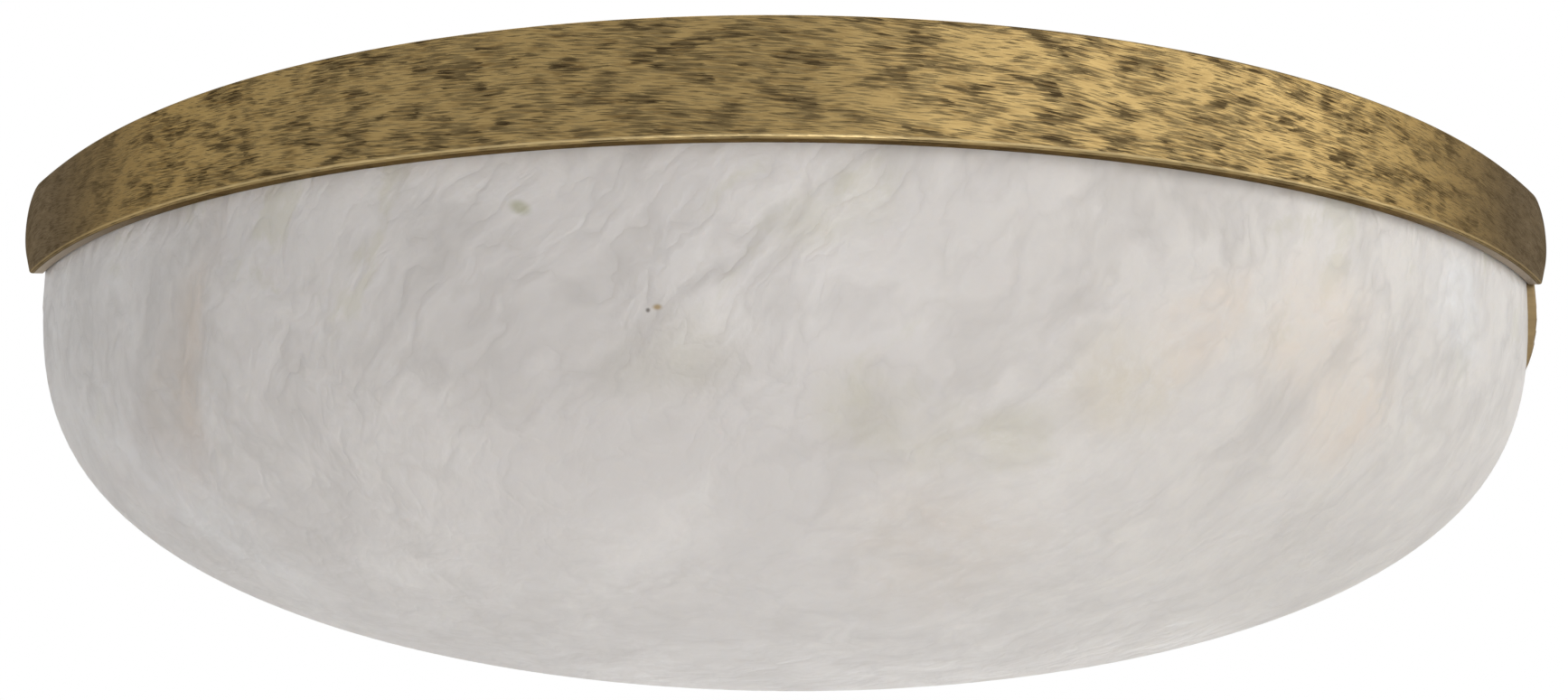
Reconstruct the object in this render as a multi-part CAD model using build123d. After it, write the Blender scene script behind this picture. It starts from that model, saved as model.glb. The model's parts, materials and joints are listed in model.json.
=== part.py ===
from build123d import *
from math import cos, radians, sin
import os

# Wall light with a D-shaped plan: an alabaster half bowl held in a lipped brass band.
# The wall is the plane y = 0 and the light stands out towards -Y. The origin lies on
# the wall, on the axis of the wiring box. All sizes are in millimetres.

# whole light
overall_width = 406.0
overall_projection = 127.0
overall_height = 130.0
band_top = 53.0
seat_gap = 0.3
running_gap = 0.05

# plan of the band: part of an ellipse, cut off by the back plate
plan_half_angle = 34.8
plate_depth = 8.0

# brass band with an inner ledge along its lower edge
band_height = 23.0
band_wall = 1.3
ledge_reach = 1.7
ledge_thickness = 2.0
end_top_radius = 9.0
end_low_radius = 1.5
band_edge_radius = 0.6

# alabaster bowl
bowl_wall = 7.0
bowl_gap = 0.3
bowl_fullness = 3.32
rim_drop = 9.0
rim_pad_thickness = 0.8
rim_pad_spacing = 150.0
rim_pad_length = 24.0
rear_pad_thickness = 1.0
rear_pad_low = 8.0

# back plate, a shallow pan
plate_inset = 2.8
plate_shift = 1.2
plate_sheet = 1.5
plate_top_drop = 2.0
plate_top_corner = 6.0
plate_low_corner = 37.0
plate_corner_turn = 65.0
plate_side_low = 24.5
plate_edge_radius = 1.0

# wall bracket and its studs
bracket_length = 148.0
bracket_height = 24.0
bracket_sheet = 2.0
box_screw_spacing = 88.9
box_slot_length = 14.0
box_slot_width = 4.8
stud_spacing = 124.0
stud_radius = 2.5
stud_reach = 17.0
stud_collar_radius = 4.5
stud_collar_height = 1.2
cap_nut_radius = 7.0
wire_hole_radius = 6.0

# thumb screws that hold the shade to the plate
thumb_inset = 16.0
thumb_z = 48.5
thumb_radius = 2.0
thumb_head_radius = 4.0
thumb_head_length = 7.0
insert_radius = 3.5
tab_sheet = 1.5
tab_reach = 27.0

# lamp bracket, a channel that carries two lampholders back to back
lamp_y = -34.0
lamp_z = -18.0
arm_x = 22.0
arm_sheet = 1.5
arm_radius = 12.5
web_low = -35.0
web_high = -9.0
web_screw_x = 17.0
web_screw_z = -14.0
screw_radius = 2.0
small_screw_radius = 1.5
screw_tip = 5.0
block_screw_tip = 6.6

# lampholders and lamps with a 12 mm screw cap
holder_radius = 12.0
holder_length = 28.0
holder_floor = 4.0
holder_nut_radius = 8.0
holder_nut_height = 3.5
shell_radius = 6.3
shell_sheet = 0.4
nipple_radius = 5.0
nipple_bore = 3.0
nipple_length = 9.5
cap_radius = 6.0
lamp_radius = 17.5
collar_length = 21.0
globe_length = 42.0

# terminal block and leads
block_width = 26.0
block_depth = 12.0
block_height = 10.0
block_low = -34.0
pole_spacing = 8.5
pole_hole_radius = 2.4
lead_radius = 0.8

# derived sizes
half_width = overall_width / 2
wide = 2 * overall_width
plate_half_width = half_width - plate_inset
thumb_x = half_width - thumb_inset
tab_start_x = half_width - tab_reach
reach = overall_projection - plate_depth
plan_a = half_width / sin(radians(plan_half_angle))
plan_b = reach / (1 - cos(radians(plan_half_angle)))
plan_y = plan_b * cos(radians(plan_half_angle)) - plate_depth
band_low = band_top - band_height
plate_front = -plate_depth
shade_back = plate_front - seat_gap
bowl_back = shade_back - rear_pad_thickness
rim_top = band_top - rim_drop
ledge_top = band_low + ledge_thickness
bowl_bottom = band_top - overall_height
web_front = plate_front - arm_sheet
arm_outer = arm_x + arm_sheet
holder_mouth = arm_outer + holder_length


def d_solid(inset, low, high, back):
    """Block whose plan is the band's outline moved inwards by inset, cut off at y = back."""
    oval = Pos(0, plan_y) * Ellipse(plan_a - inset, plan_b - inset)
    front = Pos(0, back - wide / 2) * Rectangle(wide, wide)
    return Pos(0, 0, low) * extrude(oval & front, high - low)


def d_ring(outer_inset, inner_inset, low, high, back):
    """Strip that follows the band between two insets, open at both ends."""
    inner = d_solid(inner_inset, low - 1, high + 1, back + 20)
    return d_solid(outer_inset, low, high, back) - inner


def span_x(start, end):
    """Tall block that keeps what lies between two x positions."""
    return Pos((start + end) / 2, 0, 0) * Box(end - start, wide, wide)


def rod(radius, start, end, x, z):
    """Cylinder along Y from y = start to y = end."""
    return Pos(x, start, z) * extrude(Plane.XZ * Circle(radius), start - end)


def rod_x(radius, start, end):
    """Cylinder along X on the lamps' axis."""
    return Pos(start, lamp_y, lamp_z) * extrude(Plane.YZ * Circle(radius), end - start)


def turned(profile_points, curve=False):
    """Solid turned about the lamps' axis from points given as (distance along X, radius)."""
    line = Spline(*profile_points) if curve else Polyline(*profile_points)
    first, last = line @ 0, line @ 1
    axis_line = Polyline((last.X, last.Y), (last.X, 0), (first.X, 0), (first.X, first.Y))
    face = make_face(line + axis_line)
    return Pos(0, lamp_y, lamp_z) * revolve(face, Axis.X)


def end_cutter(radius, edge_z, inwards):
    """What rounds a corner of the band's end, seen from the side, at height edge_z."""
    centre = Pos(shade_back - radius, edge_z + inwards * radius)
    square = centre * Pos((radius + 1) / 2, -inwards * (radius + 1) / 2) * Rectangle(radius + 1, radius + 1)
    return extrude(Plane.YZ * (square - centre * Circle(radius)), half_width + 10, both=True)


def make_band():
    """Band with its inner ledge, rounded at its ends and along its outer edges."""
    outside = d_solid(0, band_low, band_top, shade_back)
    front = outside.edges().filter_by(lambda e: e.bounding_box().min.Y < 1 - overall_projection)
    outside = fillet(front, band_edge_radius)
    band = outside - d_solid(band_wall, ledge_top, band_top + 1, shade_back + 20)
    band -= d_solid(band_wall + ledge_reach, band_low - 1, band_top + 1, shade_back + 20)
    band -= end_cutter(end_top_radius, band_top, -1)
    return band - end_cutter(end_low_radius, band_low, 1)


def bowl_body(inset, bottom, top):
    """Half bowl whose depth falls off from the rim as 1 - t ** bowl_fullness, t from 0 to 1."""
    back_radius = plan_y - bowl_back
    rim_radius = plan_b - inset
    steps = [0, 0.2, 0.4, 0.55, 0.7, 0.82, 0.92, 1]
    curve = Spline(*[
        (back_radius + (rim_radius - back_radius) * (1 - t ** bowl_fullness),
         rim_top + (bottom - rim_top) * t)
        for t in steps
    ])
    inner = back_radius - reach / 4
    frame = Polyline((back_radius, bottom), (inner, bottom), (inner, top), (rim_radius, top))
    if top > rim_top:
        frame += Line((rim_radius, top), (rim_radius, rim_top))
    side_view = Plane(origin=(0, 0, 0), x_dir=(0, -1, 0), z_dir=(-1, 0, 0))
    turned_body = Rot(0, 0, -45) * revolve(side_view * make_face(curve + frame), Axis.Z, 90)
    body = Pos(0, plan_y, 0) * scale(turned_body, by=((plan_a - inset) / rim_radius, 1, 1))
    return body & Pos(0, bowl_back - wide / 2, 0) * Box(wide, wide, wide)


def make_bowl():
    """Alabaster shell, open at the top and the back, with a rim that rests on the ledge."""
    outside = band_wall + ledge_reach + bowl_gap
    flange_low = ledge_top + rim_pad_thickness
    bowl = bowl_body(outside, bowl_bottom, rim_top)
    bowl += d_solid(band_wall + bowl_gap, flange_low, rim_top, bowl_back)
    return bowl - bowl_body(outside + bowl_wall, bowl_bottom + bowl_wall, rim_top + 1)


def make_rim_pads():
    """Three silicone strips between the ledge and the bowl's rim."""
    strip = d_ring(band_wall + 0.1, band_wall + ledge_reach - 0.1, ledge_top,
                   ledge_top + rim_pad_thickness, shade_back - 4)
    half = rim_pad_length / 2
    return [strip & span_x(x - half, x + half) for x in (-rim_pad_spacing, 0, rim_pad_spacing)]


def make_rear_pads():
    """Two felt strips behind the bowl's rear edges, beside the back plate."""
    outside = band_wall + ledge_reach + bowl_gap
    ring = d_solid(outside + 0.5, rear_pad_low, rim_top - 1, shade_back)
    ring -= d_solid(outside + bowl_wall - 1.5, 0, band_top, 0)
    ring &= Pos(0, shade_back - rear_pad_thickness / 2, 0) * Box(wide, rear_pad_thickness, wide)
    return [ring & span_x(-half_width, 0), ring & span_x(0, half_width)]


def make_band_tab(side):
    """Brass angle inside one end of the band, with the hole for its thumb screw."""
    low = rim_top + seat_gap
    high = band_top - 0.6
    tab = d_ring(band_wall, band_wall + tab_sheet, low, high, shade_back) & span_x(tab_start_x, half_width)
    foot = d_solid(band_wall, low, high, shade_back) & span_x(tab_start_x, half_width)
    foot &= Pos(0, shade_back - tab_sheet / 2, 0) * Box(wide, tab_sheet, wide)
    tab += foot
    tab -= end_cutter(end_top_radius, high, -1)
    tab -= rod(thumb_radius + seat_gap, 0, -20, thumb_x, thumb_z)
    return tab if side > 0 else mirror(tab, Plane.YZ)


def make_rim_keeper():
    """Small angle at the front of the band that keeps the bowl's rim down."""
    low = rim_top + seat_gap
    upright = d_ring(band_wall, band_wall + 1.2, low, band_top - 1.5, shade_back)
    finger = d_ring(band_wall, band_wall + 10, low, low + 1.2, shade_back)
    return (upright + finger) & span_x(-11, 11)


def make_thumb_screw(side):
    """Captive screw with a ribbed head; its shank runs through the tab into the plate."""
    head_back = shade_back - tab_sheet - seat_gap
    x = side * thumb_x
    ribs = 16
    head = Circle(thumb_head_radius - 0.25)
    head += [Rot(0, 0, 360 * i / ribs) * Pos(thumb_head_radius - 0.45, 0) * Circle(0.45)
             for i in range(ribs)]
    screw = Pos(x, head_back, thumb_z) * extrude(Plane.XZ * head, thumb_head_length)
    screw += rod(thumb_radius, -3.2, head_back - 1, x, thumb_z)
    slot = Pos(x, head_back - thumb_head_length, thumb_z) * Box(20, 2.4, 1.0)
    return screw - slot


def make_thumb_inserts():
    """Threaded bushes riveted into the back plate."""
    bush = rod(insert_radius, -3.0, plate_front, thumb_x, thumb_z)
    bush -= rod(thumb_radius + running_gap, 0, -20, thumb_x, thumb_z)
    return [bush, mirror(bush, Plane.YZ)]


def plate_outline(inset):
    """Outline of the back plate moved inwards by inset, as a face on the wall."""
    top = band_top - plate_top_drop
    turn = radians(plate_corner_turn)
    corner_x = plate_half_width - plate_low_corner
    arc_radius = (corner_x + plate_low_corner * cos(turn)) / cos(turn)
    arc_z = plate_side_low + (arc_radius - plate_low_corner) * sin(turn)
    top_x = plate_half_width - plate_top_corner
    top_z = top - plate_top_corner
    lines = [
        Line((0, top - inset), (top_x, top - inset)),
        CenterArc((top_x, top_z), plate_top_corner - inset, 90, -90),
        Line((plate_half_width - inset, top_z), (plate_half_width - inset, plate_side_low)),
        CenterArc((corner_x, plate_side_low), plate_low_corner - inset, 0, -plate_corner_turn),
        CenterArc((0, arc_z), arc_radius - inset, -plate_corner_turn, plate_corner_turn - 90),
    ]
    right = Curve() + lines
    return Pos(plate_shift, 0, 0) * Plane.XZ * make_face(right + mirror(right, Plane.YZ))


def make_back_plate():
    """Pressed brass pan that covers the wiring box and carries everything else."""
    pan = extrude(plate_outline(0), plate_depth)
    front = pan.faces().sort_by(Axis.Y)[0]
    pan = fillet(front.edges(), plate_edge_radius)
    pan -= extrude(plate_outline(plate_sheet), plate_depth - plate_sheet)
    pan -= rod(wire_hole_radius, 0, -20, 0, 0)
    for side in (-1, 1):
        pan -= rod(stud_radius + 0.3, 0, -20, side * stud_spacing / 2, 0)
        pan -= rod(insert_radius, 0, -20, side * thumb_x, thumb_z)
        pan -= rod(screw_radius, 0, -20, side * web_screw_x, web_screw_z)
    pan -= rod(small_screw_radius, 0, -20, 0, web_screw_z)
    pan -= rod(small_screw_radius, 0, -20, pole_spacing / 2, block_low + block_height / 2)
    return pan


def make_wall_bracket():
    """Steel bar that is screwed to the wiring box through two slots."""
    bar = SlotOverall(bracket_length, bracket_height)
    bar -= Circle(11)
    for side in (-1, 1):
        bar -= Pos(side * box_screw_spacing / 2, 0) * SlotOverall(box_slot_length, box_slot_width)
        bar -= Pos(side * stud_spacing / 2, 0) * Circle(stud_radius)
    return extrude(Plane.XZ * bar, bracket_sheet)


def make_studs():
    """Two clinched studs that stand out of the wall bracket."""
    studs = []
    for side in (-1, 1):
        x = side * stud_spacing / 2
        shank = rod(stud_radius, -0.2, -stud_reach, x, 0)
        collar = rod(stud_collar_radius, -bracket_sheet, -bracket_sheet - stud_collar_height, x, 0)
        studs.append(shank + collar)
    return studs


def make_cap_nut(side):
    """Domed nut with a ribbed rim that clamps the back plate to its stud."""
    x = side * stud_spacing / 2
    back = plate_front - seat_gap
    ribs = 24
    rim = Circle(cap_nut_radius - 0.25)
    rim += [Rot(0, 0, 360 * i / ribs) * Pos(cap_nut_radius - 0.5, 0) * Circle(0.5)
            for i in range(ribs)]
    nut = Pos(x, back, 0) * extrude(Plane.XZ * rim, 5.5)
    dome = Pos(x, back - 5.5, 0) * Sphere(5.6) & Pos(x, back - 10, 0) * Box(20, 10, 20)
    return nut + dome - rod(stud_radius + running_gap, 0, -stud_reach - 0.3, x, 0)


def make_wire_grommet():
    """Rubber bush with a groove that grips the edge of the wiring hole."""
    grommet = rod(wire_hole_radius + 1.8, -5.2, -9.2, 0, 0)
    collar = rod(wire_hole_radius + 4, -plate_depth + plate_sheet, plate_front, 0, 0)
    grommet -= collar - rod(wire_hole_radius, 0, -20, 0, 0)
    return grommet - rod(4.5, 0, -20, 0, 0)


def make_lamp_bracket():
    """Bent channel: a web on the plate and two round-ended arms for the lampholders."""
    web = Pos(0, (plate_front + web_front) / 2, (web_low + web_high) / 2)
    bracket = web * Box(2 * arm_outer, arm_sheet, web_high - web_low)
    arm = Pos(lamp_y, lamp_z) * Circle(arm_radius)
    arm += Pos((lamp_y + plate_front) / 2, lamp_z) * Rectangle(plate_front - lamp_y, 2 * arm_radius)
    arm -= Pos(lamp_y, lamp_z) * Circle(nipple_radius)
    for x in (-arm_outer, arm_x):
        bracket += Pos(x, 0, 0) * extrude(Plane.YZ * arm, arm_sheet)
    for x in (-web_screw_x, web_screw_x):
        bracket -= rod(screw_radius, 0, -20, x, web_screw_z)
    bracket -= rod(small_screw_radius, 0, -20, 0, web_screw_z)
    bracket -= rod(small_screw_radius, 0, -20, pole_spacing / 2, block_low + block_height / 2)
    return bracket


def pan_screw(radius, head_radius, head_height, seat, tip, x, z):
    """Pan-head screw along Y with a slot in its head."""
    head = rod(head_radius, seat, seat - head_height, x, z)
    head -= Pos(x, seat - head_height, z) * Box(4 * head_radius, 1.2, 0.8)
    return head + rod(radius, tip, seat - 0.5, x, z)


def make_bracket_screws():
    """Two screws that hold the lamp bracket to the back plate."""
    return [pan_screw(screw_radius, 3.6, 2.4, web_front, -screw_tip, x, web_screw_z)
            for x in (-web_screw_x, web_screw_x)]


def make_terminal_block():
    """Three-pole block with a raised wall between the poles and a hole for its screw."""
    z_mid = block_low + block_height / 2
    y_mid = web_front - block_depth / 2
    block = Pos(0, y_mid, z_mid) * Box(block_width, block_depth, block_height)
    for i in (-1, 0, 1):
        x = i * pole_spacing
        block -= Pos(x, y_mid, z_mid + block_height / 2) * Box(5.4, 7, 3)
        block -= rod(pole_hole_radius, web_front - block_depth + 5, -40, x, z_mid)
    return block - rod(small_screw_radius, 0, -40, pole_spacing / 2, z_mid)


def make_terminal_screws():
    """Slotted screws that lie in the three wells of the terminal block."""
    top = block_low + block_height
    y_mid = web_front - block_depth / 2
    screws = []
    for i in (-1, 0, 1):
        head = Pos(i * pole_spacing, y_mid, top - 0.7) * Cylinder(2.2, 1.6)
        head -= Pos(i * pole_spacing, y_mid, top) * Box(6, 0.8, 1)
        screws.append(head)
    return screws


def make_lampholder(side):
    """Moulded holder with its mouth outwards and a hollow nipple through the arm."""
    body = turned([(arm_outer, holder_radius - 2), (arm_outer + 2, holder_radius),
                   (holder_mouth - 3, holder_radius), (holder_mouth, holder_radius - 1)])
    body += rod_x(nipple_radius, arm_outer - nipple_length, arm_outer + 1)
    body -= rod_x(shell_radius + shell_sheet, arm_outer + holder_floor, holder_mouth + 1)
    body -= rod_x(nipple_bore, arm_outer - nipple_length - 1, arm_outer + 2)
    return body if side > 0 else mirror(body, Plane.YZ)


def make_screw_shell(side):
    """Thin brass shell that lines the lampholder."""
    start = arm_outer + holder_floor
    shell = rod_x(shell_radius + shell_sheet, start, holder_mouth - 1.5)
    shell -= rod_x(shell_radius, start - 1, holder_mouth)
    return shell if side > 0 else mirror(shell, Plane.YZ)


def make_holder_contact(side):
    """Round centre contact on the floor of the lampholder."""
    start = arm_outer + holder_floor
    contact = turned([(start, 3.0), (start + 0.8, 3.0), (start + 1.5, 1.6)])
    return contact if side > 0 else mirror(contact, Plane.YZ)


def make_holder_nuts():
    """Flat hexagon nuts that clamp the lampholders to the arms."""
    hexagon = RegularPolygon(holder_nut_radius, 6) - Circle(nipple_radius)
    nut = Pos(arm_x - holder_nut_height, lamp_y, lamp_z) * extrude(Plane.YZ * hexagon, holder_nut_height)
    return [nut, mirror(nut, Plane.YZ)]


def make_bulb_cap(side):
    """Screw cap with rolled ridges and its solder tip."""
    start = arm_outer + holder_floor + 1.5 + seat_gap
    end = holder_mouth + seat_gap
    ridges = 5
    pitch = 2.5
    points = [(start, 2.0), (start + 1.5, 2.4), (start + 4, cap_radius - 0.5)]
    for i in range(ridges):
        x = start + 5 + i * pitch
        points += [(x, cap_radius - 0.4), (x + pitch / 2, cap_radius)]
    points += [(end - 3, cap_radius - 0.3), (end, cap_radius - 0.3)]
    cap = turned(points)
    return cap if side > 0 else mirror(cap, Plane.YZ)


def make_bulb_collar(side):
    """Moulded collar that widens from the cap to the diffuser."""
    start = holder_mouth + seat_gap
    outline = [(0, 0.486), (0.143, 0.543), (0.667, 0.771), (1, 0.886)]
    collar = turned([(start + x * collar_length, r * lamp_radius) for x, r in outline], curve=True)
    return collar if side > 0 else mirror(collar, Plane.YZ)


def make_bulb_globe(side):
    """Frosted candle-shaped diffuser with a rounded tip."""
    start = holder_mouth + seat_gap + collar_length
    outline = [(0, 0.886), (0.143, 0.971), (0.286, 1), (0.482, 0.914), (0.714, 0.629), (0.893, 0.314)]
    points = [(start + x * globe_length, r * lamp_radius) for x, r in outline]
    tip_x = start + globe_length
    curve = Spline(*points, (tip_x, 0), tangents=((1, 0.25), (0.25, -1)))
    face = make_face(curve + Polyline((tip_x, 0), (start, 0), points[0]))
    globe = Pos(0, lamp_y, lamp_z) * revolve(face, Axis.X)
    return globe if side > 0 else mirror(globe, Plane.YZ)


def tube(path):
    """Round insulated lead along a path."""
    return sweep(Plane(origin=path @ 0, z_dir=path % 0) * Circle(lead_radius), path=path)


def lead(start, middle, end, start_way):
    """Lead on a smooth path that leaves along start_way and ends along +Y."""
    return tube(Spline(start, *middle, end, tangents=(start_way, (0, 1, 0))))


def make_pole_leads(side, drop):
    """Leads from both lampholders to the outer pole on one side, drop in front of the lamps' axis."""
    x = arm_outer - nipple_length + 1
    pole = side * pole_spacing
    y = web_front - block_depth + 4
    z = block_low + block_height / 2
    near = lead((side * x, lamp_y + side * 1.4, lamp_z), [(side * 10.6, -27, z + 4.5)],
                (pole + side, y, z), (-side, 0, 0))
    far = lead((-side * x, lamp_y + side * 1.4, lamp_z), [(0, lamp_y - drop, lamp_z + 1)],
               (pole - side, y, z), (side, 0, 0))
    return [near, far]


def make_earth_lead():
    """Earth lead from the middle pole to the earth screw."""
    pole_z = block_low + block_height / 2
    bend = (web_screw_z - pole_z) / 2
    turn_y = web_front - block_depth - 1
    out = Line((0, web_front - block_depth + 4, pole_z), (0, turn_y, pole_z))
    loop = ThreePointArc((0, turn_y, pole_z), (0, turn_y - bend, pole_z + bend), (0, turn_y, web_screw_z))
    back = Line((0, turn_y, web_screw_z), (0, web_front - 2.6, web_screw_z))
    return tube(out + loop + back)


def write(name, solids):
    """Save one named piece, or a group of like solids, as its own file."""
    shape = Compound(children=list(solids)) if isinstance(solids, list) else solids
    shape.label = name
    export_step(shape, f"parts/{name}.step")


def main():
    """Make every piece of the light."""
    os.makedirs("parts", exist_ok=True)
    write("wall_bracket", make_wall_bracket())
    write("bracket_studs", make_studs())
    write("back_plate", make_back_plate())
    write("thumb_inserts", make_thumb_inserts())
    write("wire_grommet", make_wire_grommet())
    write("lamp_bracket", make_lamp_bracket())
    write("lamp_bracket_screws", make_bracket_screws())
    write("earth_screw", pan_screw(small_screw_radius, 3.2, 2.4, web_front, -screw_tip, 0, web_screw_z))
    write("terminal_block", make_terminal_block())
    write("terminal_screws", make_terminal_screws())
    block_z = block_low + block_height / 2
    block_front = web_front - block_depth
    write("block_screw", pan_screw(small_screw_radius, 2.2, 1.4, block_front, -block_screw_tip,
                                   pole_spacing / 2, block_z))
    write("holder_nuts", make_holder_nuts())
    write("leads_live", make_pole_leads(-1, 3))
    write("leads_neutral", make_pole_leads(1, -3))
    write("earth_lead", make_earth_lead())
    for name, side in (("left", -1), ("right", 1)):
        write(f"cap_nut_{name}", make_cap_nut(side))
        write(f"lampholder_{name}", make_lampholder(side))
        write(f"screw_shell_{name}", make_screw_shell(side))
        write(f"holder_contact_{name}", make_holder_contact(side))
        write(f"bulb_cap_{name}", make_bulb_cap(side))
        write(f"bulb_collar_{name}", make_bulb_collar(side))
        write(f"bulb_globe_{name}", make_bulb_globe(side))
        write(f"band_tab_{name}", make_band_tab(side))
        write(f"thumb_screw_{name}", make_thumb_screw(side))
    write("brass_band", make_band())
    write("rim_keeper", make_rim_keeper())
    write("rim_pads", make_rim_pads())
    write("rear_pads", make_rear_pads())
    write("alabaster_bowl", make_bowl())


if __name__ == "__main__":
    main()
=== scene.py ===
"""Looks of a wall light: an alabaster half bowl in a chased brass band.

Everything is in metres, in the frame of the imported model: the wall is the plane y = 0,
the light stands out towards -Y, +Z is up, and the origin is on the wiring box's axis.
"""

import json
import logging
import math
from dataclasses import dataclass, field
from enum import Enum

import bpy
import numpy as np
from mathutils import Matrix, Vector

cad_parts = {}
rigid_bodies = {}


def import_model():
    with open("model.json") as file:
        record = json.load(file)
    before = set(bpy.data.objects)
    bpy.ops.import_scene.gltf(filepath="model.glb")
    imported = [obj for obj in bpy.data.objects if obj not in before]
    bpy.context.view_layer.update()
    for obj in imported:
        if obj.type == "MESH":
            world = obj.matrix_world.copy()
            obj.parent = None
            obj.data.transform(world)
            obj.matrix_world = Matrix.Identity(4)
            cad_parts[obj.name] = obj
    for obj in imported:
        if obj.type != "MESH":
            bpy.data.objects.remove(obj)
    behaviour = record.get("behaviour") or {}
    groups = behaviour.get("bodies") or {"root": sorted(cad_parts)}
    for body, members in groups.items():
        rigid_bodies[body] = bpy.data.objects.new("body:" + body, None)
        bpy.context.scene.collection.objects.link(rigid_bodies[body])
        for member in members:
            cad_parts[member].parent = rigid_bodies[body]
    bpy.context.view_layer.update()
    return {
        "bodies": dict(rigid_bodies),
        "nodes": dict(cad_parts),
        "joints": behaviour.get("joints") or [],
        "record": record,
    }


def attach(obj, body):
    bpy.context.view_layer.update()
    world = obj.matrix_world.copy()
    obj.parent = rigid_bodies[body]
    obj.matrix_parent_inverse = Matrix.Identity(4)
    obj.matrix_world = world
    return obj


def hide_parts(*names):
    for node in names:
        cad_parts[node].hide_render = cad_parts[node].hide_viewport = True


LOG = logging.getLogger("scene")
MM = 0.001
Triple = tuple[float, float, float]
Colour = Triple
Point = Triple
Socket = bpy.types.NodeSocket
Value = Socket | float | Triple


# Node helpers


@dataclass(frozen=True)
class Grain:
    """One noise: cells per unit, finer layers, and how its coordinates are drawn out.

    The scale is cells per unit, detail the number of finer layers, rough their strength and
    warp the distortion. The stretch and shift, where given, are put on the coordinates first.
    """

    scale: float = 1.0
    detail: float = 4.0
    rough: float = 0.5
    warp: float = 0.0
    stretch: Triple | None = None
    shift: Triple = (0.0, 0.0, 0.0)


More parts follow.
